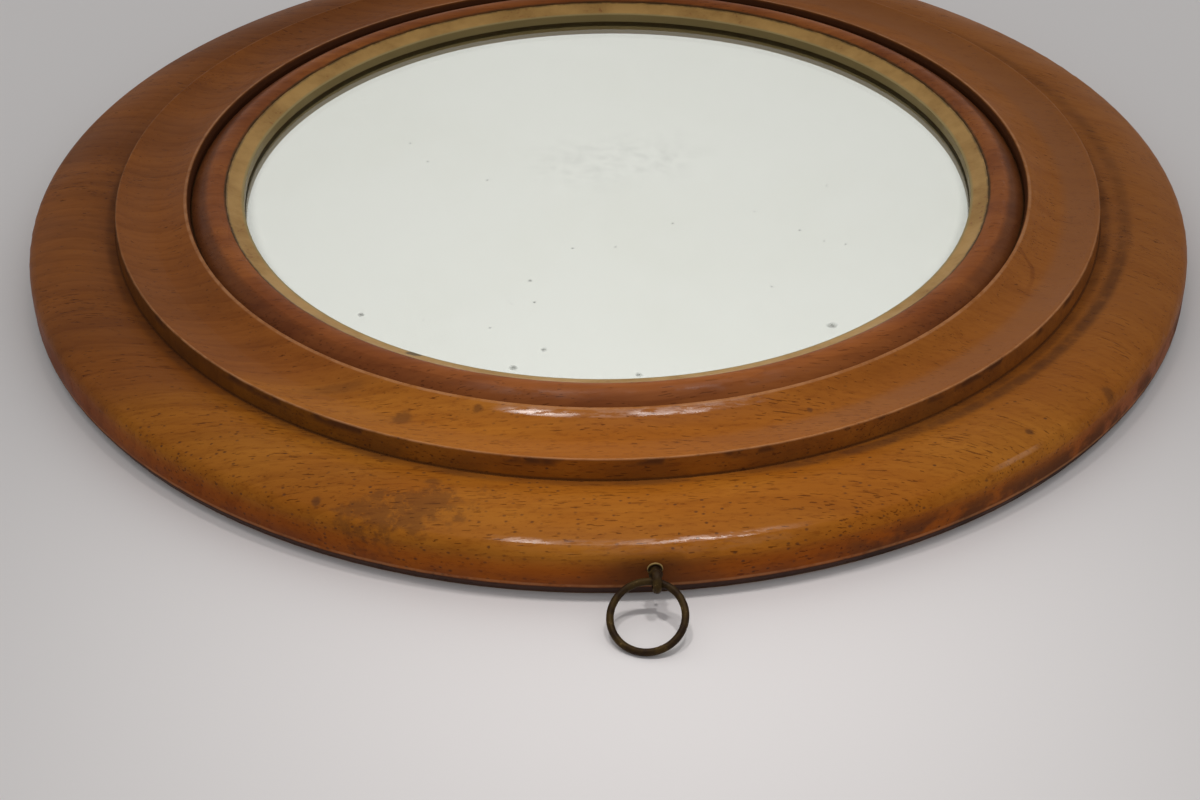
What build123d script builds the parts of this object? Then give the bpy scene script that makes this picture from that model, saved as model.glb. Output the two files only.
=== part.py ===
from build123d import *
import math
import os

# Round wall mirror, in millimetres. The back lies in the plane z = 0, the mirror faces +Z,
# the origin is the centre of the back, and the screw eye stands out of the rim along -Y.

# Outer frame: radii and heights of its turned profile, from the rim inwards
RIM_R = 190.0
BACK_ARRIS_R = 188.6
BACK_BEVEL_Z = 2.8
RIM_SIDE = (189.6, 11.5)
RIM_SHOULDER = (187.0, 15.0)
DOME_END = (170.0, 17.0)
STEP_BASE = (161.8, 15.5)
STEP_TOP = (161.1, 22.3)
COVE_FLOOR = (150.0, 19.2)
COVE_END = (141.6, 21.2)
SHOULDER_TOP = (138.5, 22.3)
BEAD_SEAT_R = 137.8
BEAD_SEAT_Z = 17.25
LIP_R = 127.6
REBATE_R = 133.0
ARRIS_ROUND = 0.35

# Sight bead: the separate turned ring in the front recess
BEAD_OUTER_R = 137.7
BEAD_INNER_R = 126.1
BEAD_EDGE_Z = 18.4
BEAD_SLOPE_TOP = (131.9, 22.3)
BEAD_INNER_Z = 21.4

# Gilt slip: flange under the bead, hollow face, thin sight edge
SLIP_FLANGE_R = 127.5
SLIP_FACE_R = 126.0
SLIP_FACE_Z = 21.2
SLIP_SIGHT_R = 120.5
SLIP_SIGHT_Z = 18.7
SLIP_HOLLOW = 0.25

# Glass and what is behind it
GLASS_R = 131.0
SEAT_Z = 15.75
BEDDING_GAP = 0.03
GLASS_TOP_Z = SEAT_Z - BEDDING_GAP
GLASS_THICKNESS = 2.5
GLASS_SEAM = 0.35
SILVER_R = 130.6
SILVER_THICKNESS = 0.1
PAPER_THICKNESS = 0.3
SILVER_TOP_Z = GLASS_TOP_Z - GLASS_THICKNESS - BEDDING_GAP
PAPER_TOP_Z = SILVER_TOP_Z - SILVER_THICKNESS - BEDDING_GAP
BOARD_TOP_Z = PAPER_TOP_Z - PAPER_THICKNESS - BEDDING_GAP
BOARD_R = 132.2
BOARD_BACK_Z = 6.0
BOARD_BEVEL_WIDTH = 9.0
BOARD_BEVEL_DEPTH = 1.4
BLOCK_COUNT = 6
BLOCK_LENGTH = 16.0
BLOCK_HEIGHT = 2.6
BLOCK_CLEARANCE = 0.05

# Sprigs: flat cut nails with one tapered edge
SPRIG_COUNT = 8
SPRIG_LENGTH = 15.0
SPRIG_EMBEDDED = 6.0
SPRIG_WIDTH = 1.3
SPRIG_THICKNESS = 1.4
SPRIG_POINT = 0.3

# Screw eye: distances along its own axis are measured outwards from the frame's centre
SCREW_Z = 9.0
COLLAR_R = 2.1
COLLAR_SEAT = 187.2
COLLAR_FACE = 190.0
NECK_R = 1.25
KNOB_R = 1.85
KNOB_CENTRE = 191.8
KNOB_HALF_LENGTH = 0.85
EYE_CENTRE = 194.6
EYE_HOLE_R = 1.2
EYE_OUTER_R = 3.0
EYE_WIDTH = 2.35
THREAD_R = 1.5
THREAD_CORE_R = 1.1
THREAD_PITCH = 1.2
THREAD_TURNS = 7
SCREW_TIP = 176.2

# Hanging ring: a closed loop of round wire whose free end rests on the surface
RING_MEAN_R = 9.5
RING_WIRE_R = 0.97
RING_SKEW = 20.0
RING_DROP_IN_EYE = 0.1
RING_FLOOR_GAP = 0.05


# Cylinders stand on their end face
ON_END = (Align.CENTER, Align.CENTER, Align.MIN)


def turned(outline):
    """Solid of revolution about Z from a closed outline drawn in the XZ plane."""
    return revolve(make_face(Plane.XZ * outline), Axis.Z)


def rounded(face_outline, points, radius):
    """The outline with the corners nearest the given points rounded."""
    face = make_face(face_outline)
    corners = [face.vertices().sort_by_distance(Vector(*point))[0] for point in points]
    return fillet(corners, radius).face().outer_wire()


def bent_from(edge, end):
    """Arc that leaves the far end of an edge smoothly and reaches the point end."""
    return TangentArc(edge @ 1, end, tangent=edge % 1)


def along_screw_axis(shape, distance):
    """Place a shape modelled along +Z onto the screw's axis, this far from the frame's centre."""
    return Plane((0, -distance, SCREW_Z), x_dir=(1, 0, 0), z_dir=(0, -1, 0)) * shape


def outer_frame():
    back_bevel = Line((BACK_ARRIS_R, 0), (RIM_R, BACK_BEVEL_Z))
    rim_side = TangentArc((RIM_R, BACK_BEVEL_Z), RIM_SIDE, tangent=(0, 1))
    rim_round = bent_from(rim_side, RIM_SHOULDER)
    dome = bent_from(rim_round, DOME_END)
    valley = bent_from(dome, STEP_BASE)
    step = Line(STEP_BASE, STEP_TOP)
    cove_inner = TangentArc(COVE_FLOOR, COVE_END, tangent=(-1, 0))
    cove_outer = TangentArc(COVE_FLOOR, STEP_TOP, tangent=(1, 0))
    shoulder = bent_from(cove_inner, SHOULDER_TOP)
    inside = Polyline(
        SHOULDER_TOP,
        (BEAD_SEAT_R, SHOULDER_TOP[1] - 2.2),
        (BEAD_SEAT_R, BEAD_SEAT_Z),
        (LIP_R, BEAD_SEAT_Z),
        (LIP_R, SEAT_Z),
        (REBATE_R, SEAT_Z),
        (REBATE_R, 0),
        (BACK_ARRIS_R, 0),
    )
    outline = Curve() + [
        back_bevel, rim_side, rim_round, dome, valley, step, cove_outer, cove_inner, shoulder, inside
    ]
    eased = rounded(outline, [STEP_TOP, SHOULDER_TOP, (RIM_R, BACK_BEVEL_Z)], ARRIS_ROUND)
    frame = turned(eased)
    seat_depth = RIM_R - COLLAR_SEAT + 1
    seat = along_screw_axis(Cylinder(COLLAR_R, seat_depth, align=ON_END), COLLAR_SEAT)
    pilot_depth = COLLAR_SEAT - SCREW_TIP
    pilot = along_screw_axis(Cylinder(THREAD_CORE_R, pilot_depth, align=ON_END), SCREW_TIP)
    return frame - seat - pilot


def sight_bead():
    slope = TangentArc((BEAD_OUTER_R, BEAD_EDGE_Z), BEAD_SLOPE_TOP, tangent=(-1, 1))
    crown = bent_from(slope, (BEAD_INNER_R, BEAD_INNER_Z))
    inside = Polyline(
        (BEAD_INNER_R, BEAD_INNER_Z),
        (BEAD_INNER_R, BEAD_SEAT_Z),
        (BEAD_OUTER_R, BEAD_SEAT_Z),
        (BEAD_OUTER_R, BEAD_EDGE_Z),
    )
    outline = Curve() + [slope, crown, inside]
    return turned(rounded(outline, [(BEAD_INNER_R, BEAD_INNER_Z)], ARRIS_ROUND))


def gilt_slip():
    flange_top = BEAD_SEAT_Z - BLOCK_CLEARANCE
    middle_r = (SLIP_FACE_R + SLIP_SIGHT_R) / 2
    middle_z = (SLIP_FACE_Z + SLIP_SIGHT_Z) / 2
    face = ThreePointArc(
        (SLIP_FACE_R, SLIP_FACE_Z),
        (middle_r, middle_z - SLIP_HOLLOW),
        (SLIP_SIGHT_R, SLIP_SIGHT_Z),
    )
    body = Polyline(
        (SLIP_SIGHT_R, SLIP_SIGHT_Z),
        (SLIP_SIGHT_R, SEAT_Z),
        (SLIP_FLANGE_R, SEAT_Z),
        (SLIP_FLANGE_R, flange_top),
        (SLIP_FACE_R, flange_top),
        (SLIP_FACE_R, SLIP_FACE_Z),
    )
    outline = Curve() + [face, body]
    return turned(rounded(outline, [(SLIP_SIGHT_R, SLIP_SIGHT_Z)], ARRIS_ROUND))


def disc(radius, top_z, thickness):
    """Round sheet lying flat with its top face at top_z."""
    return Pos(0, 0, top_z - thickness) * Cylinder(radius, thickness, align=ON_END)


def mirror_glass():
    glass = disc(GLASS_R, GLASS_TOP_Z, GLASS_THICKNESS)
    return chamfer(glass.edges().filter_by(GeomType.CIRCLE), GLASS_SEAM)


def mirror_silvering():
    return disc(SILVER_R, SILVER_TOP_Z, SILVER_THICKNESS)


def backing_paper():
    return disc(SILVER_R, PAPER_TOP_Z, PAPER_THICKNESS)


def backboard():
    board = disc(BOARD_R, BOARD_TOP_Z, BOARD_TOP_Z - BOARD_BACK_Z)
    back_edge = board.edges().filter_by(GeomType.CIRCLE).sort_by(Axis.Z)[0]
    back_face = board.faces().sort_by(Axis.Z)[0]
    return chamfer(back_edge, BOARD_BEVEL_WIDTH, BOARD_BEVEL_DEPTH, reference=back_face)


def packing_blocks():
    """Short slivers of wood that fill the gap between the glass and the rebate."""
    inner_r = GLASS_R + BLOCK_CLEARANCE
    outer_r = REBATE_R - BLOCK_CLEARANCE
    ring = disc(outer_r, GLASS_TOP_Z, BLOCK_HEIGHT) - disc(inner_r, GLASS_TOP_Z, BLOCK_HEIGHT)
    cutter = Pos(REBATE_R, 0, GLASS_TOP_Z - BLOCK_HEIGHT / 2) * Box(20, BLOCK_LENGTH, BLOCK_HEIGHT)
    block = (ring & cutter).solids()[0]
    step = 360 / BLOCK_COUNT
    return Compound([Rot(Z=step * (number + 0.5)) * block for number in range(BLOCK_COUNT)])


def backboard_sprigs():
    """Cut sprigs laid flat on the board and driven into the rebate wall."""
    head = REBATE_R + SPRIG_EMBEDDED - SPRIG_LENGTH
    point = REBATE_R + SPRIG_EMBEDDED
    side_view = Polyline(
        (head, BOARD_BACK_Z),
        (point, BOARD_BACK_Z),
        (point, BOARD_BACK_Z - SPRIG_POINT),
        (head, BOARD_BACK_Z - SPRIG_THICKNESS),
        close=True,
    )
    sprig = extrude(make_face(Plane.XZ * side_view), SPRIG_WIDTH / 2, both=True).solids()[0]
    step = 360 / SPRIG_COUNT
    return Compound([Rot(Z=step * (number + 0.5)) * sprig for number in range(SPRIG_COUNT)])


def screw_eye():
    """Turned screw with collar and knob, and a small eye whose hole runs along X."""
    thread_start = COLLAR_SEAT - SCREW_TIP - THREAD_TURNS * THREAD_PITCH
    crests = [(0, 0), (THREAD_CORE_R, thread_start)]
    for turn in range(THREAD_TURNS):
        foot = thread_start + turn * THREAD_PITCH
        crests.append((THREAD_R, foot + THREAD_PITCH / 2))
        crests.append((THREAD_CORE_R, foot + THREAD_PITCH))
    collar_seat = COLLAR_SEAT - SCREW_TIP
    collar_face = COLLAR_FACE - SCREW_TIP
    neck_end = EYE_CENTRE - EYE_OUTER_R + 1 - SCREW_TIP
    shank = Polyline(
        *crests,
        (COLLAR_R, collar_seat),
        (COLLAR_R, collar_face - ARRIS_ROUND),
        (COLLAR_R - ARRIS_ROUND, collar_face),
        (NECK_R, collar_face),
        (NECK_R, neck_end),
        (0, neck_end),
        close=True,
    )
    turned_shank = revolve(make_face(Plane.XZ * shank), Axis.Z)
    knob_outline = Ellipse(KNOB_R, KNOB_HALF_LENGTH)
    right_half = Pos(KNOB_R, 0) * Rectangle(2 * KNOB_R, 4 * KNOB_HALF_LENGTH)
    knob = Pos(0, 0, KNOB_CENTRE - SCREW_TIP) * revolve(Plane.XZ * (knob_outline & right_half), Axis.Z)
    section_r = (EYE_OUTER_R - EYE_HOLE_R) / 2
    section = Pos(EYE_HOLE_R + section_r, 0) * Ellipse(section_r, EYE_WIDTH / 2)
    eye_at_origin = revolve(Plane.XZ * section, Axis.Z)
    eye = Pos(0, 0, EYE_CENTRE - SCREW_TIP) * Rot(Y=90) * eye_at_origin
    hole = Pos(0, 0, EYE_CENTRE - SCREW_TIP) * Rot(Y=90) * Cylinder(EYE_HOLE_R, 2 * EYE_WIDTH)
    return along_screw_axis(turned_shank + knob - hole + eye, SCREW_TIP)


def ring_pivot():
    """Middle of the ring's wire where it passes through the eye."""
    return Vector(0, -EYE_CENTRE, SCREW_Z - RING_DROP_IN_EYE)


def hanging_ring():
    """Wire ring that leans from the eye down to the surface, lying a little to the -X side."""
    free_end_z = RING_WIRE_R + RING_FLOOR_GAP
    drop = ring_pivot().Z - free_end_z
    lean = math.degrees(math.asin(drop / (2 * RING_MEAN_R)))
    flat_ring = Pos(0, -RING_MEAN_R, 0) * Torus(RING_MEAN_R, RING_WIRE_R)
    return Pos(ring_pivot()) * Rot(Z=-RING_SKEW) * Rot(X=lean) * flat_ring


PARTS = {
    "outer_frame": outer_frame,
    "sight_bead": sight_bead,
    "gilt_slip": gilt_slip,
    "mirror_glass": mirror_glass,
    "mirror_silvering": mirror_silvering,
    "backing_paper": backing_paper,
    "backboard": backboard,
    "packing_blocks": packing_blocks,
    "backboard_sprigs": backboard_sprigs,
    "screw_eye": screw_eye,
    "hanging_ring": hanging_ring,
}

os.makedirs("parts", exist_ok=True)
for name, make in PARTS.items():
    export_step(make(), f"parts/{name}.step")
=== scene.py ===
"""Looks of the round wall mirror: old turned wood, gilding, spotted silvering and brass."""
import math

import bpy
from mathutils import Matrix, Vector


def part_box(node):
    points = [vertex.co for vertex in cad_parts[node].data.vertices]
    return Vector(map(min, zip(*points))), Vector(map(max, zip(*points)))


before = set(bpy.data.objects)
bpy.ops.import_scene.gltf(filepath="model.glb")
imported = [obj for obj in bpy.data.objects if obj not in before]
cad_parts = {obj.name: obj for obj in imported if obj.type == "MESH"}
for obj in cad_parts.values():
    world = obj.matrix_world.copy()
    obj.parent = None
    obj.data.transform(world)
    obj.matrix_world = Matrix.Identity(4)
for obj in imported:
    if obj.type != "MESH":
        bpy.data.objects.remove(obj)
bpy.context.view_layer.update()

# The mirror lies on its back: x runs to the right, y away from the screw eye, z up.
# All lengths are in metres, and every radius is measured from the middle of the glass.

# The outer frame's turned profile, from the rim inwards
RIM_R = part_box("outer_frame")[1].x
RIM_SHOULDER_R = 0.1873
VALLEY_R = 0.1633
STEP_R = 0.1611
STEP_TOP = 0.0223
COVE_WALL_R = 0.1555
SHOULDER_R = 0.1388
REBATE_MOUTH_R = 0.134

# The bead's outer slope, its crown and the seams on both sides of it
BEAD_OUTER_R = 0.1375
BEAD_SLOPE_R = 0.1335
BEAD_CROWN_R = 0.1322
BEAD_INNER_R = 0.1263

# The gilt slip's face and the edge of the glass that can be seen
SLIP_OUTER_R = 0.1259
SIGHT_R = 0.1205

# Shades that multiply the colour under them
LATE_WOOD = (0.45, 0.3, 0.2)
STREAK = (0.55, 0.42, 0.33)
FIBRE = (0.6, 0.5, 0.42)
PORE = (0.22, 0.14, 0.1)

# Grime, and painted shade in the hollows and seams
OLD_DIRT_AND_SHADE = (0.085, 0.032, 0.014)
GROOVE_SHADE = (0.055, 0.02, 0.01)
SEAM_DIRT_AND_SHADE = (0.05, 0.035, 0.014)


class Nodes:
    """Adds nodes to one node tree. Every method that makes a node returns its output socket."""

    def __init__(self, tree, coordinates):
        self.nodes = tree.nodes
        self.links = tree.links
        self.where = self.nodes.new("ShaderNodeTexCoord").outputs[coordinates]

    def feed(self, socket, value):
        if isinstance(value, bpy.types.NodeSocket):
            self.links.new(value, socket)
        else:
            socket.default_value = value

    def place(self, scale=(1, 1, 1), turn=0.0, shift=(0, 0, 0), vector=None):
        """The place on the mirror, turned by some degrees, scaled and shifted."""
        node = self.nodes.new("ShaderNodeMapping")
        self.feed(node.inputs["Vector"], vector or self.where)
        node.inputs["Scale"].default_value = scale
        node.inputs["Rotation"].default_value = (0, 0, math.radians(turn))
        node.inputs["Location"].default_value = shift
        return node.outputs[0]

    def noise(self, vector, scale=1.0, detail=2.0, rough=0.5, colour=False):
        node = self.nodes.new("ShaderNodeTexNoise")
        self.feed(node.inputs["Vector"], vector)
        node.inputs["Scale"].default_value = scale
        node.inputs["Detail"].default_value = detail
        node.inputs["Roughness"].default_value = rough
        return node.outputs["Color" if colour else "Fac"]

    def stretched_noise(self, scale, detail, rough=0.5, **place):
        """Noise with its own scale along each axis."""
        return self.noise(self.place(scale=scale, **place), 1, detail, rough)

    def cells(self, scale):
        """The distance to the middle of the nearest cell, and a random number for that cell."""
        node = self.nodes.new("ShaderNodeTexVoronoi")
        self.feed(node.inputs["Vector"], self.place(scale=scale))
        node.inputs["Scale"].default_value = 1
        return node.outputs["Distance"], self.split(node.outputs["Color"])[0]

    def calc(self, operation, a, b=0.0, c=0.0):
        node = self.nodes.new("ShaderNodeMath")
        node.operation = operation
        for socket, value in zip(node.inputs, (a, b, c)):
            self.feed(socket, value)
        return node.outputs[0]

    def product(self, first, *others):
        for other in others:
            first = self.calc("MULTIPLY", first, other)
        return first

    def most(self, first, *others):
        for other in others:
            first = self.calc("MAXIMUM", first, other)
        return first

    def times_plus(self, value, factor, addend):
        return self.calc("MULTIPLY_ADD", value, factor, addend)

    def vector(self, operation, a, b=(0, 0, 0), scale=1.0):
        node = self.nodes.new("ShaderNodeVectorMath")
        node.operation = operation
        self.feed(node.inputs[0], a)
        self.feed(node.inputs[1], b)
        node.inputs[3].default_value = scale
        return node.outputs["Value" if operation == "LENGTH" else "Vector"]

    def split(self, vector):
        node = self.nodes.new("ShaderNodeSeparateXYZ")
        self.feed(node.inputs[0], vector)
        return node.outputs

    def join(self, x, y, z):
        node = self.nodes.new("ShaderNodeCombineXYZ")
        for socket, value in zip(node.inputs, (x, y, z)):
            self.feed(socket, value)
        return node.outputs[0]

    def ease(self, value, start, end, low=0.0, high=1.0):
        """low before start, high after end, a smooth step between; start may be above end."""
        node = self.nodes.new("ShaderNodeMapRange")
        node.interpolation_type = "SMOOTHSTEP"
        values = (start, end, low, high) if start < end else (end, start, high, low)
        for socket, number in zip(node.inputs, (value, *values)):
            self.feed(socket, number)
        return node.outputs[0]

    def blend(self, factor, under, over, mode="MIX"):
        node = self.nodes.new("ShaderNodeMix")
        node.data_type = "RGBA"
        node.blend_type = mode
        self.feed(node.inputs[0], factor)
        for socket, colour in ((node.inputs[6], under), (node.inputs[7], over)):
            self.feed(socket, (*colour, 1.0) if isinstance(colour, tuple) else colour)
        return node.outputs[2]

    def shade(self, factor, colour, tint):
        """The colour multiplied by a tint, as far as the factor says."""
        return self.blend(factor, colour, tint, "MULTIPLY")


class Paint(Nodes):
    """One material on the mirror, painted in the frame's own coordinates."""

    def __init__(self, name):
        self.material = bpy.data.materials.new(name)
        self.material.use_nodes = True
        self.material.node_tree.nodes.clear()
        super().__init__(self.material.node_tree, "Object")
        self.shader = self.nodes.new("ShaderNodeBsdfPrincipled")
        output = self.nodes.new("ShaderNodeOutputMaterial")
        self.links.new(self.shader.outputs[0], output.inputs["Surface"])

    def radius(self, scale=(1, 1, 0), shift=(0, 0, 0)):
        return self.vector("LENGTH", self.place(scale=scale, shift=shift))

    def band(self, r, radius, half_width, softness):
        """1 where r is near this radius, and 0 outside the half width and its soft edge."""
        gap = self.calc("ABSOLUTE", self.calc("SUBTRACT", r, radius))
        return self.ease(gap, half_width + softness, half_width)

    def spot(self, centre, size, ragged, softness, stretch=1.0):
        """A mark with an uneven edge, size in metres the short way, longer along the grain."""
        shift = (-centre[0] / stretch, -centre[1], 0)
        reach = self.radius((1 / stretch, 1, 0), shift)
        unevenness = self.noise(self.where, 1.6 / size, 4, 0.65)
        bite = self.times_plus(unevenness, ragged * size * 2, -ragged * size)
        edge = self.calc("ADD", reach, bite)
        return self.ease(edge, size / 2 * (1 + softness), size / 2 * (1 - softness))

    def bump(self, height, distance):
        node = self.nodes.new("ShaderNodeBump")
        node.inputs["Distance"].default_value = distance
        node.inputs["Strength"].default_value = 1.0
        self.feed(node.inputs["Height"], height)
        self.feed(self.shader.inputs["Normal"], node.outputs[0])

    def finish(self, colour, roughness, **settings):
        """Sets the shader's sockets; the settings are named after them, as in coat_weight."""
        self.feed(self.shader.inputs["Base Color"], colour)
        self.feed(self.shader.inputs["Roughness"], roughness)
        for name, value in settings.items():
            socket = name.replace("_", " ").title().replace("Ior", "IOR")
            self.feed(self.shader.inputs[socket], value)
        return self.material


# Wood

class WoodPaint(Paint):
    """A flat-sawn board whose grain runs along X, with growth lines, fibres and pores."""

    def __init__(self, name, turn, pith, spacing, seed, droop_right=0.0):
        """pith is the middle of the tree's rings, spacing the width of a year's growth."""
        super().__init__(name)
        board = self.place(turn=turn, shift=seed)
        if droop_right:
            aside = self.calc("SUBTRACT", self.split(self.where)[0], 0.03)
            aside = self.calc("MAXIMUM", aside, 0.0)
            droop = self.product(aside, aside, droop_right)
            board = self.vector("ADD", board, self.join(0.0, droop, 0.0))
        sway = self.noise(self.place(scale=(5, 16, 16), vector=board), 1, 3, colour=True)
        sway = self.vector("SUBTRACT", sway, (0.5, 0.5, 0.5))
        swayed = self.vector("ADD", board, self.vector("SCALE", sway, scale=0.022))
        _, across, depth = self.split(self.vector("SUBTRACT", swayed, pith))
        squares = self.calc("ADD", self.product(across, across), self.product(depth, depth))
        years = self.calc("DIVIDE", self.calc("SQRT", squares), spacing)
        self.late_wood = self.calc("POWER", self.calc("FRACT", years), 3.0)
        self.fibres = self.stretched_noise((22, 700, 700), 4, 0.6, vector=swayed)
        self.streaks = self.stretched_noise((9, 130, 130), 3, 0.55, vector=swayed)
        dashes = self.stretched_noise((210, 1900, 1900), 1, vector=swayed)
        crowd = self.stretched_noise((14, 40, 40), 2, vector=board)
        limit = self.times_plus(crowd, -0.22, 0.79)
        self.pores = self.ease(self.calc("SUBTRACT", dashes, limit), 0.0, 0.035)

    def grained(self, colour, late_wood, fibre, pore):
        """The colour with growth lines, streaks, fibres and pores, each as deep as it says."""
        colour = self.shade(self.product(self.late_wood, late_wood), colour, LATE_WOOD)
        streak = self.ease(self.streaks, 0.35, 0.75)
        colour = self.shade(self.product(streak, fibre), colour, STREAK)
        thread = self.ease(self.fibres, 0.4, 0.7)
        colour = self.shade(self.product(thread, fibre), colour, FIBRE)
        return self.shade(self.product(self.pores, pore), colour, PORE)

    def relief(self, fibre, pore):
        return self.times_plus(self.fibres, fibre, self.product(self.pores, pore))


class FrameWood(WoodPaint):
    """The outer frame: old shellac, stained, pitted and rubbed, over a board of two colours, with
    painted shade in its hollows and painted highlights on its edges.
    """

    def __init__(self):
        super().__init__(
            "frame_wood", 3.0, (0, 0.04, -0.16), 0.0042, (0.0, 0.0, 0.0), droop_right=3.2
        )
        self.x, self.y, self.z = self.split(self.where)
        self.r = self.radius()
        self.grime = self.noise(self.where, 140, 5, 0.7)
        self.smudge = self.stretched_noise((45, 90, 90), 4, 0.6)
        self.step_side = self.band(self.r, STEP_R + 0.0003, 0.0004, 0.0003)
        self.pits = self.pitting()
        self.dirt_and_shade = self.dirt_and_shade_places()

    def board(self):
        """Red-brown wood at the far side, golden in front, growth lines along their border."""
        wander = self.stretched_noise((9, 24, 24), 3, 0.45)
        border = self.times_plus(wander, 0.034, -0.136)
        border = self.times_plus(self.x, -0.03, border)
        front = self.calc("SUBTRACT", border, self.y)
        width = self.ease(self.x, -0.08, 0.05, 0.009, 0.055)
        golden = self.ease(self.calc("DIVIDE", front, width), -0.9, 1.2)
        patch = self.ease(self.stretched_noise((9, 22, 22), 4, 0.6), 0.35, 0.68)
        red_brown = self.blend(patch, (0.31, 0.095, 0.014), (0.22, 0.066, 0.012))
        right = self.ease(self.x, 0.06, 0.15)
        red_brown = self.blend(right, red_brown, (0.36, 0.118, 0.018))
        honey = self.blend(patch, (0.5, 0.185, 0.021), (0.41, 0.128, 0.011))
        left = self.ease(self.x, -0.03, -0.09, 0.0, 0.7)
        honey = self.shade(left, honey, (0.82, 0.78, 0.75))
        colour = self.blend(golden, red_brown, honey)

        years = self.calc("FRACT", self.product(front, 150.0))
        years = self.calc("POWER", years, 3.0)
        growth_line = self.product(years, self.ease(self.x, -0.02, -0.09, 0.02, 0.22))
        colour = self.shade(growth_line, colour, LATE_WOOD)
        colour = self.grained(colour, 0.05, 0.24, 0.65)
        flecks = self.stretched_noise((260, 1000, 1000), 4, 0.7, turn=8)
        fleck = self.product(self.ease(flecks, 0.5, 0.68), self.ease(golden, 0.0, 1.0, 0.15, 0.42))
        colour = self.shade(fleck, colour, (0.5, 0.36, 0.28))
        return self.shade(self.knot_line(wander), colour, (0.35, 0.2, 0.15))

    def knot_line(self, wander):
        """A thin growth line that loops back on itself in the hollow, to the right."""
        reach = self.radius((1, 0.62, 0), (-0.112, 0.045, 0))
        loop = self.band(self.times_plus(wander, 0.02, reach), 0.0235, 0.0002, 0.0008)
        return self.product(loop, self.ease(self.x, 0.118, 0.126, 0.0, 0.35))

    def painted_slope_shade(self, colour):
        """Painted shade on the hollow's outer wall, heavier to the right, on the outer side of the
        rim towards its foot, and on the wood outside the step.
        """
        # painted shade on the hollow's outer wall, heavier to the right
        cove_wall_shade = self.band(self.r, COVE_WALL_R, 0.003, 0.0045)
        cove_wall_shade = self.product(cove_wall_shade, self.ease(self.x, -0.02, 0.08, 0.15, 0.6))
        colour = self.blend(cove_wall_shade, colour, (0.27, 0.105, 0.04))
        # painted shade on the rim's outer side, deeper towards its foot
        colour = self.shade(self.ease(self.z, 0.0135, 0.008), colour, (0.86, 0.64, 0.48))
        # painted shade on the wood outside the step
        outside_step_shade = self.ease(self.r, STEP_R, VALLEY_R, 0.0, 0.5)
        return self.shade(outside_step_shade, colour, (0.82, 0.82, 0.78))

    def pitting(self):
        """Small dark pits, crowded at the left front and low on the rim."""
        distance, pick = self.cells((430, 640, 640))
        crowd = self.stretched_noise((30, 60, 60), 3, 0.6)
        left_front = self.ease(self.x, 0.1, -0.06, 0.25, 1.0)
        left_front = self.product(left_front, self.ease(self.y, -0.1, -0.14))
        low_rim = self.product(self.ease(self.z, 0.0145, 0.009), self.ease(self.y, -0.09, -0.13))
        chance = self.times_plus(left_front, -0.42, 1.13)
        chance = self.times_plus(low_rim, -0.2, chance)
        chance = self.times_plus(crowd, -0.26, chance)
        return self.product(
            self.ease(distance, 0.32, 0.1),
            self.calc("GREATER_THAN", pick, chance),
            self.ease(crowd, 0.35, 0.6, 0.5, 0.95),
            self.ease(self.r, STEP_R - 0.001, STEP_R, 0.4, 1.0),
        )

    def dirt_and_shade_round_step(self):
        """Dirt and painted shade in the valley, painted shade in the crease at the step's foot, and
        grime on the step's side with its smeared line at the right.
        """
        beside = self.radius(shift=(-0.008, 0, 0))
        smear = self.product(
            self.band(beside, 0.1618, 0.0006, 0.0026),
            self.ease(self.x, 0.015, 0.045),
            self.ease(self.y, -0.02, -0.09, 0.35, 0.8),
            self.ease(self.grime, 0.25, 0.6, 0.35, 1.0),
        )
        # Dirt and painted shade along the valley
        valley = self.band(self.r, VALLEY_R, 0.0004, 0.0022)
        valley = self.product(valley, self.ease(self.smudge, 0.3, 0.65, 0.15, 0.6))
        # painted shade in the crease at the foot of the step
        crease = self.band(self.r, STEP_R + 0.0008, 0.0002, 0.0004)
        crease = self.product(crease, self.ease(self.z, 0.0166, 0.0158, 0.0, 0.8))
        film = self.product(self.step_side, self.ease(self.smudge, 0.35, 0.65, 0.1, 0.45))
        soot = self.ease(self.stretched_noise((60, 90, 90), 3), 0.5, 0.62)
        soot = self.product(self.step_side, self.ease(self.z, 0.0185, 0.021), soot)
        return self.most(valley, crease, smear, film, soot)

    def stains(self):
        """Dark spots placed one by one, a scuffed patch, and a shadowy streak in the hollow."""
        places = [
            ((-0.065, -0.1348), 0.005, 1.1, 0.6),
            ((-0.044, -0.1347), 0.0024, 1.1, 0.6),
            ((0.0468, -0.1399), 0.0016, 1.0, 0.75),
            ((-0.0867, -0.1644), 0.003, 0.7, 0.75),
            ((-0.0565, -0.16), 0.0022, 2.0, 0.55),
            ((0.1056, -0.1499), 0.0018, 1.2, 0.8),
            ((0.1329, -0.1321), 0.0045, 0.8, 0.6),
        ]
        spots = [
            self.product(self.spot(centre, size, 0.35, 0.5, stretch), depth)
            for centre, size, stretch, depth in places
        ]
        scuff = self.product(self.spot((-0.062, -0.1695), 0.014, 0.9, 0.3, 2.2), 0.55)
        scuff = self.product(scuff, self.ease(self.grime, 0.36, 0.5))
        streak = self.product(self.spot((-0.084, -0.1205), 0.004, 0.3, 0.7, 4.0), 0.35)
        return self.most(scuff, streak, *spots)

    def dirt_and_shade_places(self):
        """All the brown-black grime, pits and stains, and the painted shade round the step, in one
        mask.
        """
        right_edge = self.product(
            self.ease(self.x, 0.02, 0.07),
            self.ease(self.y, 0.0, -0.09),
            self.ease(self.z, 0.0125, 0.006),
            self.ease(self.smudge, 0.42, 0.56, 0.0, 0.9),
        )
        around_eye = self.product(self.spot((0, -RIM_R), 0.02, 0.35, 0.9, 1.3), 0.8)
        around_eye = self.product(around_eye, self.ease(self.z, 0.0155, 0.009))
        return self.most(self.dirt_and_shade_round_step(), self.pits, right_edge, around_eye, self.stains())

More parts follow.
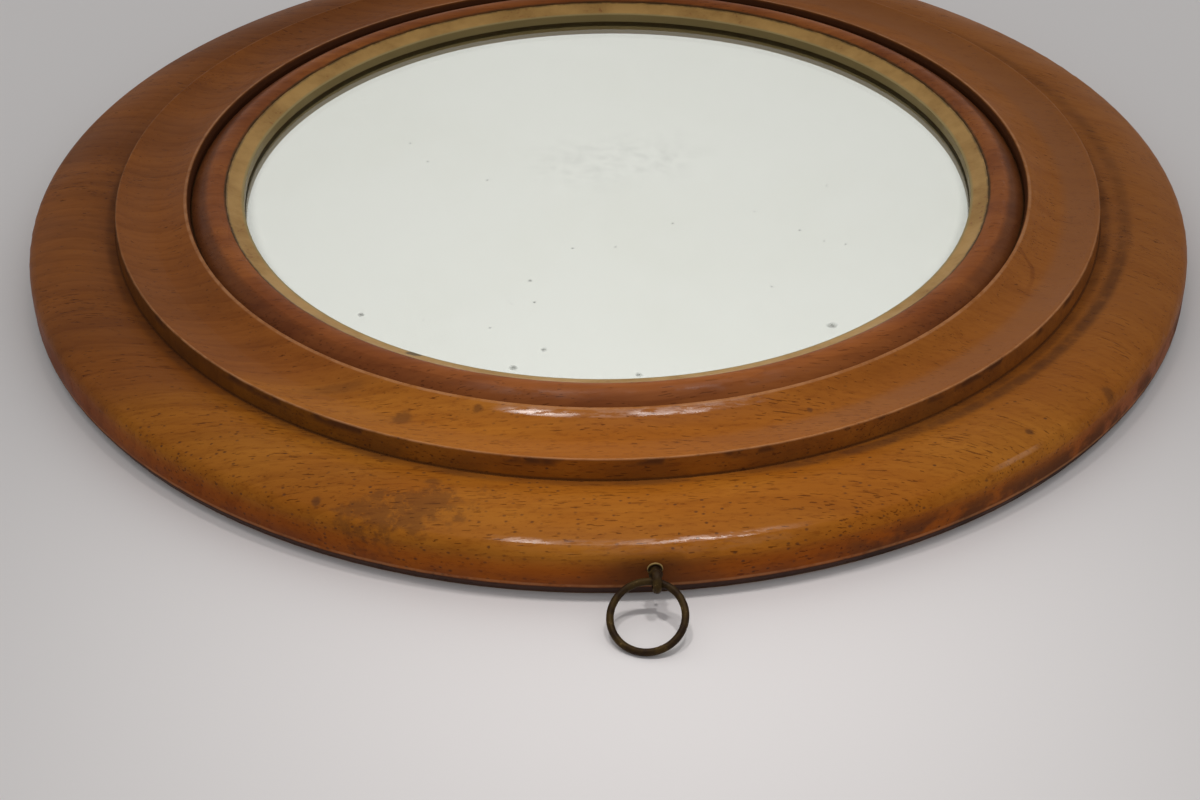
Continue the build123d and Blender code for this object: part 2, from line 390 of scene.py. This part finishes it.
    def dirtied_and_shaded(self, colour):
        """Dirt and painted shade over the wood, the rim darker towards its foot in patches, and
        painted shade on the step's side at the left, in the groove beside the bead and under the
        rim.
        """
        # the rim darker towards its foot, in patches
        foot = self.ease(self.z, 0.0085, 0.004)
        foot = self.product(foot, self.ease(self.smudge, 0.36, 0.6, 0.1, 0.5))
        colour = self.blend(foot, colour, (0.13, 0.038, 0.02))
        # painted shade on the step's side at the left
        left_step_shade = self.product(self.ease(self.x, -0.03, -0.09), self.step_side, 0.4)
        colour = self.blend(left_step_shade, colour, (0.07, 0.036, 0.006))
        # Dirt and painted shade over the wood
        colour = self.blend(self.product(self.dirt_and_shade, 0.85), colour, OLD_DIRT_AND_SHADE)
        # painted shade in the groove beside the bead
        groove = self.ease(self.r, SHOULDER_R, SHOULDER_R - 0.0007)
        groove = self.product(groove, self.ease(self.z, 0.016, 0.0175), 0.9)
        colour = self.blend(groove, colour, GROOVE_SHADE)
        # painted shade under the rim
        under_rim_shade = self.ease(self.z, 0.0036, 0.003, 0.0, 0.9)
        return self.blend(under_rim_shade, colour, (0.045, 0.028, 0.024))

    def bare_behind(self, colour):
        """The back and the rebate were never polished."""
        tone = self.ease(self.smudge, 0.3, 0.7)
        bare = self.blend(tone, (0.26, 0.14, 0.065), (0.15, 0.075, 0.032))
        bare = self.grained(bare, 0.5, 0.5, 0.4)
        rebate = self.ease(self.r, REBATE_MOUTH_R + 0.0005, REBATE_MOUTH_R - 0.0005)
        rebate = self.product(rebate, self.ease(self.z, 0.016, 0.0155))
        back = self.ease(self.z, 0.0006, 0.0002)
        return self.blend(self.most(back, rebate), colour, bare)

    def rubbed_and_highlit_edges(self, colour):
        """The step's edge, the shoulder and the lower edge, rubbed pale with painted highlights,
        and a painted highlight streak on the rim's shoulder at the front right.
        """
        # rubbed pale wood with painted highlights on the edges, strongest at the front
        arris = self.product(
            self.band(self.r, STEP_R - 0.0001, 0.0002, 0.0005),
            self.ease(self.z, STEP_TOP - 0.0008, STEP_TOP - 0.0002),
            self.ease(self.y, -0.11, -0.04, 1.0, 0.3),
        )
        shoulder = self.band(self.r, SHOULDER_R + 0.0002, 0.0002, 0.0005)
        shoulder = self.product(shoulder, self.ease(self.z, 0.02, 0.021))
        lower_edge = self.product(
            self.ease(self.z, 0.0031, 0.0036),
            self.ease(self.z, 0.0044, 0.0039),
            self.ease(self.r, 0.188, 0.189, 0.0, 0.6),
        )
        # a painted highlight streak on the rim's shoulder at the front right
        painted_highlight_streak = self.product(
            self.band(self.r, RIM_SHOULDER_R + 0.0004, 0.0003, 0.0004),
            self.ease(self.x, 0.09, 0.098),
            self.ease(self.x, 0.11, 0.104),
            self.ease(self.y, -0.1, -0.12),
        )
        rubbed = self.most(arris, shoulder, lower_edge, painted_highlight_streak)
        rubbed = self.product(rubbed, self.ease(self.grime, 0.3, 0.62, 0.15, 0.7))
        return self.blend(rubbed, colour, (0.5, 0.23, 0.1))

    def polish(self):
        """Where handling has polished the front of the shoulder and of the rim."""
        in_front = self.calc("DIVIDE", self.y, self.r)
        shoulder = self.product(self.band(self.r, SHOULDER_R + 0.0016, 0.0008, 0.0008), 0.85)
        shoulder = self.product(shoulder, self.ease(in_front, -0.955, -0.98))
        rim = self.product(self.band(self.r, RIM_SHOULDER_R, 0.001, 0.0012), 0.6)
        rim = self.product(rim, self.ease(in_front, -0.972, -0.988))
        rim = self.product(rim, self.ease(self.smudge, 0.38, 0.52, 0.3, 1.0))
        broken = self.ease(self.stretched_noise((160, 900, 900), 3, 0.6), 0.4, 0.56, 0.1, 1.0)
        above = self.ease(self.z, 0.012, 0.0135)
        return self.product(self.most(shoulder, rim), above, broken)

    def painted(self):
        colour = self.dirtied_and_shaded(self.painted_slope_shade(self.board()))
        colour = self.rubbed_and_highlit_edges(self.bare_behind(colour))
        height = self.times_plus(self.pits, -0.8, self.relief(0.2, -0.6))
        height = self.calc("ADD", self.noise(self.where, 60, 3), height)
        self.bump(height, 0.0001)
        wiped = self.ease(self.stretched_noise((30, 60, 60), 4), 0.3, 0.7, 0.4, 0.5)
        roughness = self.times_plus(self.dirt_and_shade, 0.2, wiped)
        return self.finish(
            colour,
            roughness,
            specular_ior_level=0.045,
            coat_weight=self.polish(),
            coat_roughness=0.2,
        )


def bead_wood():
    """The bead: redder wood, with painted shade on its outer slope, lighter at the front, and grime
    and painted shade in the seams beside it.
    """
    paint = WoodPaint("bead_wood", -2.0, (0, -0.02, -0.11), 0.0035, (0.3, 0.1, 0.2))
    r = paint.radius()
    y = paint.split(paint.where)[1]
    patch = paint.ease(paint.stretched_noise((14, 30, 30), 4, 0.6), 0.3, 0.7)
    colour = paint.blend(patch, (0.23, 0.062, 0.016), (0.37, 0.115, 0.026))
    colour = paint.grained(colour, 0.2, 0.3, 0.4)
    grime = paint.stretched_noise((60, 160, 160), 5, 0.7)
    # painted shade on the bead's outer slope, lighter at the front
    slope = paint.ease(r, BEAD_SLOPE_R - 0.0023, BEAD_SLOPE_R)
    slope = paint.product(slope, paint.ease(y, -0.04, -0.12, 0.5, 0.15))
    colour = paint.blend(slope, colour, (0.05, 0.02, 0.012))
    # grime and painted shade in the seams on both sides of the bead
    outer_seam = paint.ease(r, BEAD_OUTER_R - 0.0006, BEAD_OUTER_R)
    inner_seam = paint.ease(r, BEAD_INNER_R + 0.0005, BEAD_INNER_R)
    seam_dirt_and_shade = paint.most(outer_seam, inner_seam)
    seam_dirt_and_shade = paint.product(seam_dirt_and_shade, paint.ease(grime, 0.3, 0.6, 0.4, 0.85))
    colour = paint.blend(seam_dirt_and_shade, colour, SEAM_DIRT_AND_SHADE)
    paint.bump(paint.relief(0.4, -0.8), 0.00012)
    sheen = paint.product(
        paint.band(r, BEAD_CROWN_R, 0.0012, 0.001),
        paint.ease(grime, 0.42, 0.6),
        paint.ease(y, -0.12, -0.128, 0.0, 0.4),
    )
    return paint.finish(
        colour,
        paint.ease(grime, 0.3, 0.7, 0.36, 0.5),
        specular_ior_level=0.05,
        coat_weight=sheen,
        coat_roughness=0.22,
    )


def plain_wood(name, light, dark, turn, seed):
    """Bare unpolished softwood for the pieces behind the glass."""
    paint = WoodPaint(name, turn, (0, 0.06, -0.05), 0.0038, seed)
    stain = paint.stretched_noise((12, 30, 30), 5, 0.6, shift=seed)
    colour = paint.blend(paint.ease(stain, 0.35, 0.7), light, dark)
    colour = paint.grained(colour, 0.7, 0.4, 0.25)
    height = paint.times_plus(paint.fibres, 0.7, paint.product(paint.late_wood, 0.4))
    paint.bump(height, 0.0002)
    roughness = paint.ease(paint.fibres, 0.3, 0.7, 0.6, 0.82)
    return paint.finish(colour, roughness, specular_ior_level=0.3)


# Gilding, glass, silvering and paper

def gilding():
    """Worn gold leaf, with red ground showing through and a nick in its sight edge."""
    paint = Paint("gilding")
    r = paint.radius()
    leaf = paint.noise(paint.where, 55, 5, 0.65)
    tone = paint.ease(leaf, 0.35, 0.7)
    colour = paint.blend(tone, (0.5, 0.285, 0.085), (0.37, 0.2, 0.055))
    fine = paint.noise(paint.where, 700, 4, 0.6)
    rubbed = paint.product(paint.ease(fine, 0.55, 0.66), paint.ease(leaf, 0.5, 0.65))
    colour = paint.blend(paint.product(rubbed, 0.7), colour, (0.26, 0.09, 0.03))
    sight_edge = paint.ease(r, SIGHT_R + 0.0011, SIGHT_R + 0.0003)
    colour = paint.blend(sight_edge, colour, (0.34, 0.25, 0.1))
    # grime and painted shade along the slip's outer edge against the bead, and a nick
    grime = paint.ease(paint.noise(paint.where, 180, 4, 0.7), 0.3, 0.6)
    grime = paint.product(paint.ease(r, SLIP_OUTER_R - 0.0007, SLIP_OUTER_R), grime)
    nick = paint.spot((-0.062, -0.1042), 0.0035, 0.4, 0.3, 1.6)
    colour = paint.blend(paint.product(paint.most(grime, nick), 0.75), colour, (0.05, 0.035, 0.015))
    paint.bump(paint.times_plus(leaf, 0.6, fine), 0.00008)
    roughness = paint.ease(leaf, 0.3, 0.7, 0.34, 0.52)
    return paint.finish(colour, roughness, metallic=0.2, specular_ior_level=0.15)


def old_glass():
    """Faintly green glass with a slow wave in its surface and a few smears."""
    paint = Paint("old_glass")
    paint.bump(paint.stretched_noise((9, 14, 1), 2), 0.00004)
    smears = paint.stretched_noise((18, 18, 1), 5, 0.6)
    roughness = paint.ease(smears, 0.55, 0.8, 0.0, 0.03)
    return paint.finish((0.965, 0.975, 0.965, 1.0), roughness, ior=1.52, transmission_weight=1.0)


def silvering():
    """Silvering with foxing spots, dust-fine specks, a hazy patch and a tarnished edge."""
    paint = Paint("silvering")
    cloud = paint.ease(paint.stretched_noise((11, 11, 1), 5, 0.6), 0.4, 0.8)
    colour = paint.blend(cloud, (0.95, 0.945, 0.925), (0.92, 0.915, 0.88))
    places = [
        ((-0.0248, -0.0988), 0.0014),
        ((-0.034, -0.1072), 0.0018),
        ((0.0019, -0.1133), 0.0015),
        ((-0.0791, -0.0764), 0.0016),
        ((-0.0277, -0.0615), 0.001),
        ((0.0611, -0.0929), 0.0022),
    ]
    fox = [paint.product(paint.spot(centre, size, 0.5, 0.8), 0.75) for centre, size in places]
    distance, pick = paint.cells((150, 150, 0))
    crowd = paint.stretched_noise((16, 16, 0), 2)
    front = paint.ease(paint.split(paint.where)[1], 0.03, -0.06)
    chance = paint.times_plus(crowd, -0.22, 1.06)
    chance = paint.times_plus(front, -0.05, chance)
    chosen = paint.calc("GREATER_THAN", pick, chance)
    specks = paint.product(paint.ease(distance, 0.1, 0.03, 0.0, 0.6), chosen)
    haze = paint.spot((0.0055, 0.014), 0.03, 0.6, 0.7, 1.6)
    haze = paint.product(haze, paint.ease(paint.noise(paint.where, 160, 5, 0.7), 0.4, 0.7), 0.12)
    tarnish = paint.product(paint.ease(paint.radius(), SIGHT_R - 0.004, SIGHT_R), 0.35)
    dark = paint.most(*fox, specks, haze, tarnish)
    colour = paint.blend(paint.product(dark, 0.85), colour, (0.09, 0.1, 0.075))
    return paint.finish(colour, paint.ease(dark, 0.0, 1.0, 0.012, 0.4), metallic=1.0)


def brown_paper():
    paint = Paint("brown_paper")
    pulp = paint.noise(paint.where, 900, 4, 0.7)
    foxing = paint.ease(paint.noise(paint.where, 30, 5, 0.65), 0.4, 0.75)
    colour = paint.blend(foxing, (0.3, 0.2, 0.11), (0.17, 0.1, 0.05))
    colour = paint.blend(paint.product(pulp, 0.25), colour, (0.12, 0.08, 0.05))
    paint.bump(pulp, 0.00005)
    return paint.finish(colour, paint.ease(pulp, 0.3, 0.7, 0.75, 0.9))


# Metals

def old_brass(name, wear, collar_at=None):
    """Brass under a dark olive patina, rubbed bright in places, with a painted highlight on the
    screw's collar.
    """
    paint = Paint(name)
    tone = paint.noise(paint.where, 260, 4, 0.6)
    fine = paint.noise(paint.where, 1500, 4, 0.65)
    patina = paint.ease(tone, 0.35, 0.7)
    colour = paint.blend(patina, (0.022, 0.011, 0.005), (0.06, 0.035, 0.009))
    bright = paint.ease(paint.times_plus(fine, 0.45, tone), 0.86, 1.02, 0.0, wear)
    # a painted highlight on the screw's collar
    if collar_at:
        outwards = paint.product(paint.split(paint.where)[1], -1.0)
        collar = paint.band(outwards, collar_at, 0.0012, 0.0003)
        collar = paint.product(collar, paint.ease(tone, 0.3, 0.5, 0.6, 1.0))
        bright = paint.most(bright, collar)
    colour = paint.blend(bright, colour, (0.56, 0.38, 0.14))
    paint.bump(paint.times_plus(tone, 1.5, fine), 0.00004)
    roughness = paint.ease(bright, 0.0, 1.0, 0.5, 0.3)
    return paint.finish(colour, roughness, metallic=0.25, specular_ior_level=0.1)


def rusted_iron():
    paint = Paint("rusted_iron")
    rust = paint.noise(paint.where, 800, 5, 0.7)
    colour = paint.blend(paint.ease(rust, 0.35, 0.65), (0.07, 0.05, 0.045), (0.2, 0.08, 0.035))
    paint.bump(rust, 0.0001)
    return paint.finish(colour, paint.ease(rust, 0.3, 0.7, 0.55, 0.85), metallic=0.3)


def give(node, material):
    """Puts one material on a CAD node."""
    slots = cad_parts[node].data.materials
    slots.clear()
    slots.append(material)


# Floor, light and camera

FLOOR_REACH = 3.0
LAMP_HEIGHT = 1.5
LAMP_Y = 0.08
LAMP_DEPTH = 0.08
LAMP_SPREAD = 16
LAMP_AIM = (0.0, -0.205, 0)


def floor_material():
    paint = Paint("pale_table")
    mottle = paint.noise(paint.where, 3.0, 3)
    colour = paint.blend(mottle, (0.785, 0.757, 0.762), (0.805, 0.777, 0.782))
    paint.bump(paint.noise(paint.where, 400, 3), 0.00002)
    return paint.finish(colour, paint.ease(mottle, 0.3, 0.7, 0.5, 0.6), specular_ior_level=0.25)


def floor():
    mesh = bpy.data.meshes.new("table_top")
    near, far = -FLOOR_REACH, FLOOR_REACH
    corners = [(near, near, 0), (far, near, 0), (far, far, 0), (near, far, 0)]
    mesh.from_pydata(corners, [], [(0, 1, 2, 3)])
    mesh.materials.append(floor_material())
    table = bpy.data.objects.new("table_top", mesh)
    bpy.context.scene.collection.objects.link(table)


def strip_light(name, across, length, watts):
    """A narrow softbox high over the mirror, aimed at the table in front of the screw eye."""
    lamp = bpy.data.lights.new(name, "AREA")
    lamp.shape = "RECTANGLE"
    lamp.size, lamp.size_y = length, LAMP_DEPTH
    lamp.energy = watts
    lamp.spread = math.radians(LAMP_SPREAD)
    lamp.color = (1.0, 0.97, 0.94)
    light = bpy.data.objects.new(name, lamp)
    light.location = (across, LAMP_Y, LAMP_HEIGHT)
    light.rotation_mode = "QUATERNION"
    light.rotation_quaternion = (Vector(LAMP_AIM) - light.location).to_track_quat("-Z", "Y")
    bpy.context.scene.collection.objects.link(light)


def studio():
    """A dim room with a bright pale wall beyond the mirror, which is what the glass reflects."""
    world = bpy.data.worlds.new("studio")
    world.use_nodes = True
    sky = Nodes(world.node_tree, "Generated")
    x, y, z = sky.split(sky.where)
    room = sky.times_plus(x, 0.06, 0.44)
    wall = sky.product(sky.ease(z, 0.3, 0.75, 0.8, 1.0), 0.91)
    aside = sky.calc("ABSOLUTE", sky.calc("SUBTRACT", x, 0.05))
    wall = sky.product(wall, sky.ease(aside, 0.0, 0.3, 1.0, 0.93))
    beyond = sky.ease(y, 0.2, 0.52)
    strength = sky.times_plus(beyond, sky.calc("SUBTRACT", wall, room), room)
    background = sky.nodes["Background"]
    sky.feed(background.inputs["Strength"], strength)
    sky.feed(background.inputs["Color"], sky.blend(beyond, (1.0, 1.0, 1.0), (1.0, 1.0, 0.96)))
    bpy.context.scene.world = world
    strip_light("overhead_left", -0.235, 0.14, 0.036)
    strip_light("overhead_right", 0.245, 0.16, 0.039)


def camera():
    """Stands in front of the screw eye, a little to the left, and looks down on the mirror."""
    position = Vector((-0.0318, -0.5266, 0.3157))
    heading, pitch, roll = (math.radians(angle) for angle in (3.11, 36.79, -0.7))
    across, along = math.sin(heading), math.cos(heading)
    forward = Vector((across * math.cos(pitch), along * math.cos(pitch), -math.sin(pitch)))
    level = Vector((along, -across, 0))
    upright = level.cross(forward)
    right = level * math.cos(roll) + upright * math.sin(roll)
    up = upright * math.cos(roll) - level * math.sin(roll)
    data = bpy.data.cameras.new("camera")
    data.lens = 35
    data.sensor_width = 23.5
    data.clip_start = 0.01
    eye = bpy.data.objects.new("camera", data)
    axes = Matrix((right, up, -forward)).transposed()
    eye.matrix_world = Matrix.Translation(position) @ axes.to_4x4()
    bpy.context.scene.collection.objects.link(eye)
    bpy.context.scene.camera = eye


give("outer_frame", FrameWood().painted())
give("sight_bead", bead_wood())
give("gilt_slip", gilding())
give("mirror_glass", old_glass())
give("mirror_silvering", silvering())
give("backing_paper", brown_paper())
give("backboard", plain_wood(
    "backboard_pine", (0.42, 0.25, 0.11), (0.2, 0.11, 0.05), turn=88.0, seed=(0.2, 0.5, 0.1)
))
give("packing_blocks", plain_wood(
    "block_pine", (0.45, 0.29, 0.14), (0.28, 0.16, 0.08), turn=20.0, seed=(0.7, 0.2, 0.3)
))
give("backboard_sprigs", rusted_iron())
give("screw_eye", old_brass("eye_brass", 0.35, collar_at=0.1885))
give("hanging_ring", old_brass("ring_brass", 0.5))

floor()
studio()
camera()
bpy.context.scene.view_settings.view_transform = "Standard"
